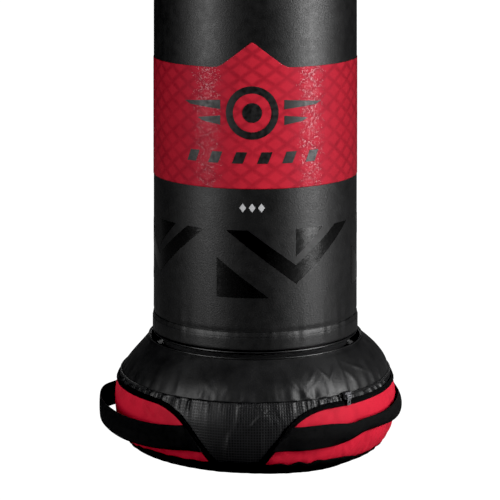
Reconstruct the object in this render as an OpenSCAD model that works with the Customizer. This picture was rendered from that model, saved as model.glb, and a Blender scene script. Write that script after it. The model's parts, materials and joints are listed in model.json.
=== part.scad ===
// Free standing striking bag. A padded column leans on a ball joint over a wide, soft
// base that holds ballast bags. Millimetres, +Z up, origin on the floor at the centre
// of the base, front towards -Y.

/* [Column] */
// Height of the whole bag
total_h = 1750; // [1400:10:1850]
// Outside diameter of the column
column_d = 406; // [402:1:408]
// Turn of the column's front from the base's front, in degrees
column_turn = 5.6; // [-12:0.1:12]
// Thickness of the column's cover
cover_t = 3; // [2:0.5:3]
// Height of the hem band at the foot of the cover
hem_h = 36; // [28:1:40]
// Rise of the domed top
crown_h = 16; // [10:1:24]

/* [Red band] */
// Lower edge of the band
band_z = 529; // [450:1:700]
// Height of the band, without its peak
band_h = 231; // [150:1:300]
// Height of the pointed peak at the front
peak_h = 50; // [20:1:80]
// Half width of the peak where it meets the band
peak_w = 66; // [40:1:90]

/* [Base] */
// Diameter of the base at its widest
base_d = 556; // [552:1:564]
// Diameter of the flat underside
foot_d = 460; // [440:1:470]
// Height of the widest point
bulge_z = 88; // [86:1:92]
// Height of the seam under the shoulder
seam_z = 138; // [136:1:140]
// Radius of the base at that seam
seam_r = 265; // [262:1:268]
// Height of the column's lower edge, where it leans
hem_z = 219; // [216:1:224]
// Thickness of the base's fabric
fabric_t = 2; // [1.5:0.1:2.2]

/* [Base panels] */
// Lower edge of the side panels
panel_z0 = 17; // [14:1:20]
// Upper edge of the side panels
panel_z1 = 120; // [118:1:121]
// Half width of the front panel at its foot
panel_foot_w = 45; // [40:1:60]
// Lean of the front panel's edges from the vertical, in degrees
panel_lean = 38; // [34:0.1:40]
// Radius of the curve at the head of those edges
panel_curve_r = 89; // [80:1:95]
// Width of the binding tape
binding_w = 8; // [6:1:9]

/* [Handles] */
// Width of the webbing
strap_w = 44; // [38:1:48]
// Thickness of the webbing
strap_t = 3; // [2:0.5:3]
// Height of the webbing's middle
strap_z = 68; // [60:1:72]
// How far the left handle stands off the base
left_slack = 34; // [28:1:40]
// How far the right handle stands off the base
right_slack = 17; // [16:1:40]
// Angle from the front or rear at which a handle is free, in degrees
strap_free_a = 26; // [25:0.5:28]
// How far a handle lifts, in degrees
swing_max = 18; // [10:1:18]

/* [Motion] */
// Largest lean of the column, which the neck leaves room for, in degrees
lean_max = 10; // [6:1:10]

/* [Closures] */
// Lower end of the column's rear zip
zip_z0 = 300; // [290:10:400]
// Upper end of the column's rear zip, below the column's top
zip_top_gap = 90; // [60:10:200]
// Angle from the front at which the base's zip starts, in degrees
base_zip_a = 44; // [40:1:60]

/* [Hidden] */
$fn = 128;

gap = 0.3;                // between pieces that lie against each other
far = 400;                // longer than any radius here
column_r = column_d / 2;
base_r = base_d / 2;
foot_r = foot_d / 2;
top_z = total_h - crown_h - cover_t;

hem_band_t = 1.2;
welt_r = 2.6;
jacket_t = 8.5;
jacket_r = column_r - cover_t - gap;
core_r = jacket_r - jacket_t - gap;
cavity_h = 75;            // hollow under the column, around the neck
plate_z = hem_z + cavity_h;
plate_t = 14;
core_z = plate_z + plate_t + gap;
core_top_z = top_z - 40;
tube_r = 57;
tube_t = 7;
spigot_h = 40;

ball_r = 24;
ball_play = 0.3;
cup_r = 36;
cup_flange_r = 62;
cup_flange_t = 7.7;
cup_screw_ring = 52;
cup_screw_r = 4;
cup_screw_head_h = 5;
retainer_h = 12;
retainer_lap = 16;
retainer_t = 5;
thread_play = 0.05;
post_r = 30;
post_neck_r = 13;
post_flange_r = 75;
post_flange_t = 8;
bolt_ring = 58;
bolt_r = 5;
tee_nut_r = 6.5;

mat_z = 2.5;
mat_t = 4.3;
board_z = 9.2;
board_t = 18;
board_r = 222;
post_foot_z = board_z + board_t + 0.1;
ballast_z = board_z + board_t + 1.3;
ballast_top = 140;
ballast_r0 = 80;
ballast_r1 = 226;

// The deck and the collar leave room for the column's lower edge at its full lean.
deck_z = hem_z - column_r * sin(lean_max) - 6;
deck_hole_r = 36;
collar_r = (column_r + hem_band_t) * cos(lean_max) + hem_h * sin(lean_max) + 1.8;
shoulder_top_z = hem_z - 12;
shoulder_t = fabric_t + 0.4;
shoulder_foot_z = seam_z + 0.8;
shoulder_top_r = collar_r + 5;
sleeve_r = core_r - 7;
sleeve_t = 18;
sleeve_top = hem_z + cavity_h / 2;

coil_r = 2;
coil_ring_r = seam_r + 3.5;
tab_w = 8;
tab_t = 1.6;
pin_r = 1.2;
pin_play = 0.05;
lug_t = 1.5;

// ---- Shapes shared by several pieces ----

module tube(r_out, r_in, z0, z1) {
    translate([0, 0, z0])
        difference() {
            cylinder(r = r_out, h = z1 - z0);
            translate([0, 0, -1]) cylinder(r = r_in, h = z1 - z0 + 2);
        }
}

module ring(r, section_r, z) {
    translate([0, 0, z])
        rotate_extrude() translate([r, 0]) circle(r = section_r, $fn = 24);
}

module around(count, ring_r) {
    for (i = [0 : count - 1])
        rotate([0, 0, 360 / count * (i + 0.5)]) translate([ring_r, 0, 0]) children();
}

// Outside radius of the base at a height: a squashed ellipse up to the widest point,
// then an arc in to the shoulder seam.
ellipse_power = 2.4;
arc_r = (pow(seam_z - bulge_z, 2) + pow(base_r - seam_r, 2)) / (2 * (base_r - seam_r));
function lower_r(z) =
    foot_r + (base_r - foot_r)
    * pow(1 - pow((bulge_z - z) / bulge_z, ellipse_power), 1 / ellipse_power);
function upper_r(z) = base_r - arc_r + sqrt(arc_r * arc_r - pow(z - bulge_z, 2));
function base_outline(z) = z < bulge_z ? lower_r(max(z, 0)) : upper_r(z);
function inset_outline(z, t) = min(base_outline(z - t), base_outline(z)) - t;

// A shell that follows the base's outline, from t0 to t1 inside it.
module skirt(z0, z1, t0, t1, steps = 14) {
    heights = [for (i = [0 : steps]) z0 + (z1 - z0) * i / steps];
    outer = [for (z = heights) [base_outline(z) - t0, z]];
    inner = [for (i = [steps : -1 : 0]) [base_outline(heights[i]) - t1, heights[i]]];
    rotate_extrude() polygon(concat(outer, inner));
}

// The right edge of the front panel seen from the front, moved sideways by w away from
// the panel's middle: a leaning line, then an arc that ends level at panel_z1.
arc_z = panel_z1 - panel_curve_r;
bend_z = panel_z1 - panel_curve_r * (1 - sin(panel_lean));
bend_x = panel_foot_w + (bend_z - panel_z0) * tan(panel_lean);
arc_x = bend_x + panel_curve_r * cos(panel_lean);
function panel_edge(w, end_a = 90, steps = 8) = concat(
    [[panel_foot_w + w / cos(panel_lean) - 3 * tan(panel_lean), panel_z0 - 3]],
    [for (i = [0 : steps])
        let (a = panel_lean + (end_a - panel_lean) * i / steps)
        [arc_x - (panel_curve_r - w) * cos(a), arc_z + (panel_curve_r - w) * sin(a)]]
);
function mirrored(points) =
    [for (i = [len(points) - 1 : -1 : 0]) [-points[i][0], points[i][1]]];

module from_front() {
    rotate([90, 0, 0]) linear_extrude(height = far) children();
}

module front_and_rear() {
    children();
    rotate([0, 0, 180]) children();
}

module on_side(side) {
    intersection() {
        children();
        translate([side > 0 ? 0 : -far, -far, -far]) cube([far, 2 * far, 2 * far]);
    }
}

module panel_cut(w) {
    edge = panel_edge(w, 78);
    head = [[edge[len(edge) - 1][0], panel_z1 + 20]];
    from_front() polygon(concat(edge, head, mirrored(head), mirrored(edge)));
}

module panel() {
    intersection() {
        skirt(panel_z0 + gap, panel_z1 + binding_w / 2 - gap, 0, fabric_t);
        panel_cut(-binding_w / 2);
    }
}

module side_panel(side) {
    on_side(side)
        difference() {
            skirt(panel_z0 + gap, panel_z1 + binding_w / 2 - gap, 0, fabric_t);
            front_and_rear() panel_cut(-binding_w / 2 + gap);
        }
}

module binding_strip() {
    inner = panel_edge(-binding_w);
    strip = concat(panel_edge(0), [for (i = [len(inner) - 1 : -1 : 0]) inner[i]]);
    from_front() {
        polygon(strip);
        mirror([1, 0]) polygon(strip);
    }
}

module binding(side) {
    on_side(side)
        union() {
            intersection() {
                skirt(panel_z0 + gap, panel_z1 + binding_w, -1.4, -0.15);
                front_and_rear() binding_strip();
            }
            difference() {
                skirt(panel_z1, panel_z1 + binding_w, -1.4, -0.15, 4);
                translate([-arc_x, -far, 0]) cube([2 * arc_x, 2 * far, far]);
            }
        }
}

// ---- Handles ----

strap_end_r = base_r + 7;
strap_end_x = strap_end_r * sin(strap_free_a);
strap_end_y = strap_end_r * cos(strap_free_a);
function strap_rise(slack) = base_r + slack - strap_end_x;
function strap_arc_r(slack) =
    (pow(strap_end_y, 2) + pow(strap_rise(slack), 2)) / (2 * strap_rise(slack));

// Webbing bowed out to the +X side. It swings about the line through its two ends.
module strap(slack) {
    r = strap_arc_r(slack);
    x = base_r + slack - r;
    half_a = atan2(strap_end_y, strap_end_x - x);
    translate([x, 0, strap_z])
        rotate([0, 0, -half_a])
            rotate_extrude(angle = 2 * half_a)
                translate([r - strap_t / 2, -strap_w / 2]) square([strap_t, strap_w]);
}

// The sewn stubs stop short of the handles' ends, which tip towards them on the swing.
module handle_anchors() {
    start_a = 17;
    end_a = asin((strap_end_x - strap_w / 2 * sin(swing_max) - 2) / base_r);
    color("black")
        for (a = [-90 + start_a, -90 - end_a, 90 + start_a, 90 - end_a])
            rotate([0, 0, a])
                intersection() {
                    skirt(strap_z - strap_w / 2, strap_z + strap_w / 2, -4.6, -1.7, 6);
                    rotate_extrude(angle = end_a - start_a)
                        translate([base_r - 60, 0]) square([100, 200]);
                }
}

module handle_left() { color("black") mirror([1, 0, 0]) strap(left_slack); }
module handle_right() { color("black") strap(right_slack); }

// ---- Column ----

vinyl_colour = [0.07, 0.07, 0.075];
cloth_colour = [0.12, 0.12, 0.125];

module column_cover() { color(vinyl_colour) tube(column_r, column_r - cover_t, hem_z, top_z); }

module hem_band() {
    color(vinyl_colour)
        tube(column_r + hem_band_t, column_r + gap / 2, hem_z, hem_z + hem_h);
}

module hem_welt() { color("black") ring(column_r - cover_t / 2, welt_r - 0.2, hem_z - welt_r); }

module top_panel() {
    steps = 10;
    function dome(i) = top_z + crown_h * (1 - pow(i / steps, 2));
    upper = [for (i = [0 : steps]) [column_r * i / steps, dome(i) + cover_t]];
    lower = [for (i = [steps : -1 : 0]) [column_r * i / steps, dome(i) + gap / 2]];
    color(vinyl_colour) rotate_extrude() polygon(concat(upper, lower));
}

module top_welt() { color("black") ring(column_r + welt_r + gap / 2, welt_r, top_z); }

module red_band() {
    tape_half_w = 16;
    head = band_z + band_h;
    color("crimson")
        rotate([0, 0, column_turn])
            difference() {
                union() {
                    tube(column_r + 0.9, column_r + 0.15, band_z, head);
                    intersection() {
                        tube(column_r + 0.9, column_r + 0.15, head - 5, head + peak_h);
                        from_front()
                            polygon([[-peak_w, head - 5], [peak_w, head - 5], [peak_w, head],
                                     [0, head + peak_h], [-peak_w, head]]);
                    }
                }
                translate([-tape_half_w, 0, band_z - 1])
                    cube([2 * tape_half_w, far, band_h + 2]);
            }
}

module foam_jacket() {
    color("gainsboro") tube(jacket_r, jacket_r - jacket_t, hem_z + 2, top_z - 1);
}

module foam_core() { color("lightgray") tube(core_r, tube_r + gap, core_z, core_top_z); }

module crown_pad() {
    steps = 8;
    pad_r = core_r;
    function under(i) = top_z + crown_h * (1 - pow(pad_r * i / steps / column_r, 2)) - 1;
    upper = [for (i = [0 : steps]) [pad_r * i / steps, under(i)]];
    foot = core_top_z + 6;
    color("gainsboro") rotate_extrude() polygon(concat(upper, [[pad_r, foot], [0, foot]]));
}

module core_tube() { color("burlywood") tube(tube_r, tube_r - tube_t, core_z, core_top_z); }

module tube_plug() {
    color("dimgray") {
        translate([0, 0, core_top_z + gap]) cylinder(r = tube_r, h = 5);
        translate([0, 0, core_top_z - spigot_h]) cylinder(r = tube_r - tube_t - gap, h = spigot_h + 1);
    }
}

module column_plate() {
    color("peru")
        difference() {
            union() {
                translate([0, 0, plate_z]) cylinder(r = core_r, h = plate_t);
                translate([0, 0, plate_z]) cylinder(r = tube_r - tube_t - gap, h = plate_t + spigot_h);
            }
            around(4, cup_screw_ring)
                translate([0, 0, plate_z - 1])
                    cylinder(r = cup_screw_r + 0.2, h = plate_t + 2, $fn = 32);
        }
}

// ---- Neck: a ball on the base's post inside a cup on the column ----

module socket_cup() {
    color("gray")
        difference() {
            union() {
                translate([0, 0, hem_z]) cylinder(r = cup_r, h = cavity_h - cup_flange_t);
                translate([0, 0, plate_z - cup_flange_t - gap])
                    cylinder(r = cup_flange_r, h = cup_flange_t);
            }
            translate([0, 0, hem_z]) sphere(r = ball_r + ball_play);
            around(4, cup_screw_ring)
                translate([0, 0, hem_z]) cylinder(r = cup_screw_r + gap, h = cavity_h + 1, $fn = 32);
        }
}

// A ring nut that screws up over the cup's rim and keeps the ball in.
module socket_retainer() {
    color("dimgray")
        difference() {
            translate([0, 0, hem_z - retainer_h])
                cylinder(r = cup_r + retainer_t, h = retainer_h + retainer_lap);
            translate([0, 0, hem_z - gap]) cylinder(r = cup_r + thread_play, h = far);
            translate([0, 0, hem_z]) sphere(r = ball_r + ball_play);
        }
}

module cup_screws() {
    shank_h = 18;
    color("silver")
        around(4, cup_screw_ring)
            translate([0, 0, plate_z - cup_flange_t - 2 * gap - cup_screw_head_h]) {
                cylinder(r = 7, h = cup_screw_head_h, $fn = 6);
                cylinder(r = cup_screw_r, h = cup_screw_head_h + shank_h, $fn = 32);
            }
}

// A waisted rubber ring between the deck and the column's plate.
module rebound_bushing() {
    bore_r = 84;
    rim_r = 118;
    rim_h = 12;
    waist_out_r = 106;
    waist_in_r = 76;
    foot = deck_z + 1;
    head = plate_z - 1;
    waist = (foot + head) / 2;
    color("darkslategray")
        rotate_extrude()
            polygon([[bore_r, foot], [rim_r, foot], [rim_r, foot + rim_h], [waist_out_r, waist],
                     [rim_r, head - rim_h], [rim_r, head], [bore_r, head], [bore_r, head - rim_h],
                     [waist_in_r, waist], [bore_r, foot + rim_h]]);
}

// The neck above the taper is narrow, so that the retainer can lean round it.
module neck_post() {
    taper_z = hem_z - 34;
    neck_z = hem_z - 18;
    foot = post_foot_z;
    color("gray")
        difference() {
            union() {
                translate([0, 0, foot]) cylinder(r = post_flange_r, h = post_flange_t);
                translate([0, 0, foot]) cylinder(r = post_r, h = taper_z - foot);
                translate([0, 0, taper_z]) cylinder(r1 = post_r, r2 = post_neck_r, h = neck_z - taper_z);
                translate([0, 0, neck_z]) cylinder(r = post_neck_r, h = 10);
                translate([0, 0, hem_z]) sphere(r = ball_r);
            }
            around(4, bolt_ring)
                translate([0, 0, foot - 1])
                    cylinder(r = bolt_r + 0.5, h = post_flange_t + 2, $fn = 32);
        }
}

washer_z = post_foot_z + post_flange_t;
washer_t = 1.6;

module post_bolts() {
    head_z = washer_z + 0.1 + washer_t;
    color("silver")
        around(4, bolt_ring) {
            translate([0, 0, board_z - 1]) cylinder(r = bolt_r, h = head_z - board_z + 1, $fn = 32);
            translate([0, 0, head_z]) cylinder(r = 9.2, h = 6.4, $fn = 6);
        }
}

module post_washers() {
    color("silver") around(4, bolt_ring) tube(10.5, 5.3, washer_z + 0.05, washer_z + washer_t, $fn = 48);
}

module tee_nuts() {
    color("silver")
        around(4, bolt_ring) {
            tube(tee_nut_r, bolt_r + thread_play, board_z - 0.2, board_z + 14, $fn = 48);
            tube(12, bolt_r + thread_play, board_z - 1.8, board_z - 0.2, $fn = 48);
        }
}

// ---- Base, inside ----

module base_plate() {
    color("peru")
        difference() {
            translate([0, 0, board_z]) cylinder(r = board_r, h = board_t);
            around(4, bolt_ring)
                translate([0, 0, board_z - 1])
                    cylinder(r = tee_nut_r + 0.1, h = board_t + 2, $fn = 48);
        }
}

module floor_mat() {
    color([0.15, 0.15, 0.15]) translate([0, 0, mat_z]) cylinder(r = board_r, h = mat_t);
}

// A sector of the base; corner is its bevel.
module ballast_bag(middle_a) {
    span = 87;
    corner = 12;
    color("tan")
        rotate([0, 0, middle_a - span / 2])
            rotate_extrude(angle = span)
                polygon([[ballast_r0, ballast_z + corner], [ballast_r0 + corner, ballast_z],
                         [ballast_r1 - corner, ballast_z], [ballast_r1, ballast_z + corner],
                         [ballast_r1, ballast_top - corner], [ballast_r1 - corner, ballast_top],
                         [ballast_r0 + corner, ballast_top], [ballast_r0, ballast_top - corner]]);
}

module bumper_foam_ring() {
    steps = 12;
    inner_r = ballast_r1 + 3;
    inset = fabric_t + 0.8;
    z0 = 10;
    z1 = seam_z - 2;
    heights = [for (i = [0 : steps]) z0 + (z1 - z0) * i / steps];
    outer = [for (z = heights) [inset_outline(z, inset), z]];
    color("gainsboro") rotate_extrude() polygon(concat([[inner_r, z0]], outer, [[inner_r, z1]]));
}

// The foam stops short of the slack shoulder cover.
module shoulder_foam_ring() {
    slack = 5;
    inner_r = collar_r + fabric_t + 1;
    z0 = ballast_top + 3;
    z1 = shoulder_top_z - 14;
    slope = (seam_r - shoulder_t - collar_r - fabric_t) / (shoulder_top_z - shoulder_t - shoulder_foot_z);
    function slope_r(z) = seam_r - shoulder_t - slack - (z - shoulder_foot_z) * slope;
    color("lightgray")
        rotate_extrude() polygon([[inner_r, z0], [slope_r(z0), z0], [slope_r(z1), z1], [inner_r, z1]]);
}

module deck_foam() {
    color("gainsboro") tube(collar_r, deck_hole_r, ballast_top + 3, deck_z - fabric_t - gap);
}

module neck_sleeve() {
    color([0.1, 0.1, 0.1]) tube(sleeve_r, sleeve_r - sleeve_t, deck_z + gap, sleeve_top);
}

// ---- Base, outside ----

// One sewn piece: the sloping shoulder, the wall of the neck pocket and its deck.
module shoulder_cover() {
    color(vinyl_colour)
        rotate_extrude()
            polygon([[deck_hole_r, deck_z], [collar_r, deck_z], [collar_r, shoulder_top_z],
                     [shoulder_top_r, shoulder_top_z], [seam_r, shoulder_foot_z],
                     [seam_r - shoulder_t, shoulder_foot_z],
                     [collar_r + fabric_t, shoulder_top_z - shoulder_t],
                     [collar_r + fabric_t, deck_z - fabric_t], [deck_hole_r, deck_z - fabric_t]]);
}

module collar_welt() {
    section_r = 2.8;
    color("black") ring(collar_r + section_r, section_r, shoulder_top_z + section_r + 0.1);
}

module gathered_band() {
    color(cloth_colour) skirt(panel_z1 + binding_w / 2 + gap, seam_z - gap, 0, fabric_t, 4);
}

module front_panel() { color(cloth_colour) panel(); }
module rear_panel() { color(cloth_colour) rotate([0, 0, 180]) panel(); }
module side_panel_left() { color("crimson") side_panel(-1); }
module side_panel_right() { color("crimson") side_panel(1); }
module binding_left() { color("black") binding(-1); }
module binding_right() { color("black") binding(1); }

// A shallow pan: the underside and a short wall up to the panels.
module bottom_cover() {
    steps = 8;
    heights = [for (i = [0 : steps]) panel_z0 * pow(i / steps, 1.5)];
    outer = [for (z = heights) [base_outline(z), z]];
    inner = [for (i = [steps : -1 : 0]) if (heights[i] > fabric_t)
        [inset_outline(heights[i], fabric_t), heights[i]]];
    color([0.06, 0.06, 0.06])
        rotate_extrude() polygon(concat([[0, 0]], outer, inner, [[foot_r, fabric_t], [0, fabric_t]]));
}

// ---- Zips ----

// A slider that straddles a zip chain, built at the origin: the fabric lies in the plane
// y = 0, the slider stands out towards -Y and travels along Z.
slider_h = 9;
pin_y = -(slider_h + 2.2);

module slider(length, width, groove_w, groove_h) {
    color("silver") {
        difference() {
            translate([-width / 2, -slider_h, -length / 2]) cube([width, slider_h - 1, length]);
            translate([-groove_w / 2, -groove_h, -length]) cube([groove_w, 2 * groove_h, 2 * length]);
        }
        for (x = [-tab_w / 2 - lug_t - 0.4, tab_w / 2 + 0.4])
            translate([x, pin_y - 2, -2.5]) cube([lug_t, 5, 5]);
        translate([-tab_w / 2 - 1, pin_y, 0])
            rotate([0, 90, 0]) cylinder(r = pin_r, h = tab_w + 2, $fn = 32);
    }
}

// A pull tab that hangs from the slider's pin.
module pull_tab(length) {
    color("silver")
        difference() {
            union() {
                translate([-tab_w / 2, pin_y, 0]) rotate([0, 90, 0])
                    cylinder(r = 2.1, h = tab_w, $fn = 32);
                translate([-tab_w / 2, pin_y - tab_t / 2, -length]) cube([tab_w, tab_t, length]);
            }
            translate([-tab_w, pin_y, 0])
                rotate([0, 90, 0]) cylinder(r = pin_r + pin_play, h = 2 * tab_w, $fn = 32);
            translate([0, far / 2, 6 - length]) rotate([90, 0, 0]) cylinder(r = 2, h = far, $fn = 32);
        }
}

// The column's zip runs up the rear, so its slider is turned to face +Y.
zip_z1 = top_z - zip_top_gap;
rear_slider_z = zip_z1 - 12;
module at_rear() {
    rotate([0, 0, 180 + column_turn]) translate([0, -column_r, 0]) children();
}

module rear_strip(half_w, r0, r1, z0, z1) {
    rotate([0, 0, column_turn])
        intersection() {
            tube(r1, r0, z0, z1);
            translate([-half_w, 0, 0]) cube([2 * half_w, far, total_h]);
        }
}

module rear_zip_tape() {
    color([0.1, 0.1, 0.1]) rear_strip(14, column_r + gap / 2, column_r + 0.9, zip_z0, zip_z1);
}

module rear_zip_chain() {
    color("dimgray") rear_strip(3, column_r + 1.05, column_r + 2.6, zip_z0 + 4, zip_z1 - 4);
}

module rear_zip_slider() {
    at_rear() translate([0, -0.4, rear_slider_z]) slider(20, 14, 7, 3);
}

module rear_zip_pull() { at_rear() translate([0, -0.4, rear_slider_z]) pull_tab(36); }

// The base's zip follows the shoulder seam round the rear.
base_zip_span = 360 - 2 * base_zip_a;
slider_lift = -0.5;
module base_zip_chain() {
    color("dimgray")
        rotate([0, 0, base_zip_a - 90])
            rotate_extrude(angle = base_zip_span)
                translate([coil_ring_r, seam_z + 0.3]) circle(r = coil_r, $fn = 24);
}

module at_base_slider() {
    rotate([0, 0, base_zip_a + 3]) translate([0, -coil_ring_r - slider_lift, seam_z + 0.3]) children();
}

module base_zip_slider() {
    difference() {
        at_base_slider() slider(13, 15, 0.1, 0.1);
        translate([0, 0, seam_z + 0.3])
            rotate_extrude() translate([coil_ring_r, 0]) circle(r = coil_r + 0.4, $fn = 24);
    }
}

module base_zip_pull() { at_base_slider() pull_tab(18); }

column_cover();
hem_band();
hem_welt();
top_panel();
top_welt();
red_band();
foam_jacket();
foam_core();
crown_pad();
core_tube();
tube_plug();
column_plate();
socket_cup();
socket_retainer();
cup_screws();
rebound_bushing();
neck_post();
post_bolts();
post_washers();
tee_nuts();
base_plate();
floor_mat();
ballast_bag(-90);  // ballast_bag_front
ballast_bag(0);  // ballast_bag_right
ballast_bag(90);  // ballast_bag_rear
ballast_bag(180);  // ballast_bag_left
bumper_foam_ring();
shoulder_foam_ring();
deck_foam();
neck_sleeve();
shoulder_cover();
collar_welt();
gathered_band();
front_panel();
rear_panel();
side_panel_left();
side_panel_right();
binding_left();
binding_right();
bottom_cover();
handle_anchors();
handle_left();
handle_right();
rear_zip_tape();
rear_zip_chain();
rear_zip_slider();
rear_zip_pull();
base_zip_chain();
base_zip_slider();
base_zip_pull();
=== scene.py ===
"""The looks of a free standing striking bag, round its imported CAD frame. Metres, +Z up, front at -Y."""

import json
import math

import bmesh
import bpy
import numpy as np
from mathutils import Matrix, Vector


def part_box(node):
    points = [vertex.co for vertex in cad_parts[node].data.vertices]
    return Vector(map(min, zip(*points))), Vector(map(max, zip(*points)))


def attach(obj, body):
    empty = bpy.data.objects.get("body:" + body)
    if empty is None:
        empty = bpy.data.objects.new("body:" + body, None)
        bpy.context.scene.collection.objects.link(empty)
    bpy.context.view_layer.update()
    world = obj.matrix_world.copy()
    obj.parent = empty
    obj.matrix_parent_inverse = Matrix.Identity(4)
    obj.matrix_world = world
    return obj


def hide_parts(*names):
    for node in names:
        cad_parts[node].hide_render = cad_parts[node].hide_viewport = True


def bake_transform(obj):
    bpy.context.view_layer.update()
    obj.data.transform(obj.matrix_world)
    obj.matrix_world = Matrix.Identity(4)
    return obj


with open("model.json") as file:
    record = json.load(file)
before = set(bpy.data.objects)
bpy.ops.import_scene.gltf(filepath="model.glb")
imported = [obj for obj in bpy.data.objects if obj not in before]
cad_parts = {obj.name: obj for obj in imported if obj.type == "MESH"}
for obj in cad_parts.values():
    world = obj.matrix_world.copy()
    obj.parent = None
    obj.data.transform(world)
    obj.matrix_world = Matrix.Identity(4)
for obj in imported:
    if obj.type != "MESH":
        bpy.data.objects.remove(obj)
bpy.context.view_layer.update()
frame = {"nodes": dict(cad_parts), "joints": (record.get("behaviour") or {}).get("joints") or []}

MM = 0.001
TAU = 2 * math.pi

# ---- Sizes, taken from the frame ----

COLUMN_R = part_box("column_cover")[1].x
HEM_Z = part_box("column_cover")[0].z
TOP_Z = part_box("column_cover")[1].z
CROWN_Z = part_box("top_panel")[1].z
HEM_TOP_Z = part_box("hem_band")[1].z
BAND_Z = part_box("red_band")[0].z
PEAK_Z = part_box("red_band")[1].z
PEAK_H = 50 * MM
PEAK_W = 66 * MM
BAND_TOP_Z = PEAK_Z - PEAK_H

BASE_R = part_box("side_panel_right")[1].x
FOOT_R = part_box("floor_mat")[1].x + 8 * MM
BULGE_Z = 88 * MM
SEAM_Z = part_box("gathered_band")[1].z + 0.3 * MM
SEAM_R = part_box("shoulder_cover")[1].x
COLLAR_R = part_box("deck_foam")[1].x
SHOULDER_TOP_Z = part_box("shoulder_cover")[1].z
FLOOR_GAP = 0.4 * MM
DECK_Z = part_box("neck_sleeve")[0].z - 0.3 * MM
DECK_HOLE_R = 36 * MM
PANEL_Z0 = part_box("front_panel")[0].z
BINDING_W = 8 * MM
CLOTH_T = 1.0 * MM
PANEL_Z1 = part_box("binding_left")[1].z - BINDING_W
PANEL_FOOT_W = 45 * MM
PANEL_LEAN = math.radians(38)
PANEL_CURVE_R = 89 * MM

STRAP_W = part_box("handle_right")[1].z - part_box("handle_right")[0].z
STRAP_Z = (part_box("handle_right")[1].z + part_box("handle_right")[0].z) / 2
STRAP_T = 3 * MM
SIDES = ((1, "right"), (-1, "left"))
ZIP_Z0, ZIP_Z1 = (corner.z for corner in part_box("rear_zip_tape"))
BASE_ZIP_START = math.radians(44)
COIL_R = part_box("base_zip_chain")[1].x - 2 * MM
COIL_Z = (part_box("base_zip_chain")[0].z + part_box("base_zip_chain")[1].z) / 2

joints = {joint["name"]: joint for joint in frame["joints"]}
# The column's prints and its rear zip are turned a little from the base's front.
turned_axis = joints["rear_pull_flip"]["axis"]
TURN = math.atan2(turned_axis[1], turned_axis[0])


# ---- Surfaces: angles run from the front (-Y) towards +X ----

def polar(angle, radius, height):
    """Points from angle, radius and height, each a number or an array."""
    angle, radius, height = np.broadcast_arrays(angle, radius, height)
    return np.stack([radius * np.sin(angle), -radius * np.cos(angle), height], axis=-1)


def fade(value, low, high):
    """A smooth step from 0 at low to 1 at high."""
    part = np.clip((value - low) / (high - low), 0, 1)
    return part * part * (3 - 2 * part)


def ripple(angle, height, seed, fewest, most, slide=0.0, terms=7):
    """Smooth bumps of about -1 to 1 that close up round the bag, with fewest to most bumps in a turn."""
    draw = np.random.default_rng(seed)
    total = 0
    for _ in range(terms):
        turns = draw.integers(fewest, most + 1)
        phase = draw.uniform(0, TAU)
        total = total + np.sin(turns * angle + phase + draw.uniform(-slide, slide) * height)
    return total / math.sqrt(2 * terms)


def creases(angle, height, seed, count, low, high, span=math.pi, middle=0.0, narrow=1.0):
    """Soft random folds, 0 to about 1, scattered over a strip of cloth at radius BASE_R."""
    draw = np.random.default_rng(seed)
    total = np.zeros(np.broadcast(angle, height).shape)
    for _ in range(count):
        at_angle = middle + draw.uniform(-span, span)
        at_height = draw.uniform(low, high)
        lean = draw.uniform(-1.1, 1.1)
        length = draw.uniform(14, 34) * MM
        width = draw.uniform(3, 7) * MM * narrow
        weight = draw.uniform(0.4, 1)
        off = (angle - at_angle + math.pi) % TAU - math.pi
        across = off * BASE_R * math.cos(lean) + (height - at_height) * math.sin(lean)
        along = (height - at_height) * math.cos(lean) - off * BASE_R * math.sin(lean)
        total += weight * np.exp(-(across / width) ** 2 - (along / length) ** 2)
    return total


ARC_R = ((SEAM_Z - BULGE_Z) ** 2 + (BASE_R - SEAM_R) ** 2) / (2 * (BASE_R - SEAM_R))


def outline(height):
    """The base's radius at a height: a squashed ellipse up to the bulge, then an arc to the seam."""
    squash = 2.4
    lower = np.clip((BULGE_Z - height) / BULGE_Z, 0, 1)
    below = FOOT_R + (BASE_R - FOOT_R) * (1 - lower ** squash) ** (1 / squash)
    above = BASE_R - ARC_R + np.sqrt(ARC_R ** 2 - (np.maximum(height, BULGE_Z) - BULGE_Z) ** 2)
    return np.where(height < BULGE_Z, below, above)


def outline_slope(height):
    step = 0.5 * MM
    return (outline(height + step) - outline(height - step)) / (2 * step)


def on_skirt(angle, height, lift=0.0):
    """A point on the base's outline, moved out along its normal by lift."""
    slope = np.clip(outline_slope(height), -3, 3)
    tilt = 1 / np.sqrt(1 + slope ** 2)
    return polar(angle, outline(height) + lift * tilt, np.maximum(height - lift * slope * tilt, FLOOR_GAP))


def from_panel(angle):
    """Degrees round from the middle of the front or the rear panel, whichever is nearer."""
    return np.abs((np.degrees(angle) + 90) % 180 - 90)


def near(angle, middle, width):
    """1 at an angle, in degrees from the front, and fading to 0 over about width degrees either side."""
    off = (np.degrees(angle) - middle + 180) % 360 - 180
    return np.exp(-(off / width) ** 2)


def sag(angle, height):
    """How far the soft base stands out from its outline, apart from its small folds."""
    soft = 1.4 * MM * ripple(angle, height, 11, 2, 7, slide=12)
    soft += 0.6 * MM * ripple(angle, height, 12, 9, 17, slide=30)
    foot = np.clip(1 - height / (45 * MM), 0, 1)
    spread = 5 * MM * near(angle, 32, 16) - 3 * MM * near(angle, -52, 28) + 7 * MM * near(angle, 160, 40)
    return soft + spread * foot


def held_out(lift):
    """The foam inside holds the cloth out: it folds outwards freely and hardly at all inwards."""
    limit = 1.1 * MM
    return np.where(lift > 0, lift, limit * np.tanh(lift / limit))


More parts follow.
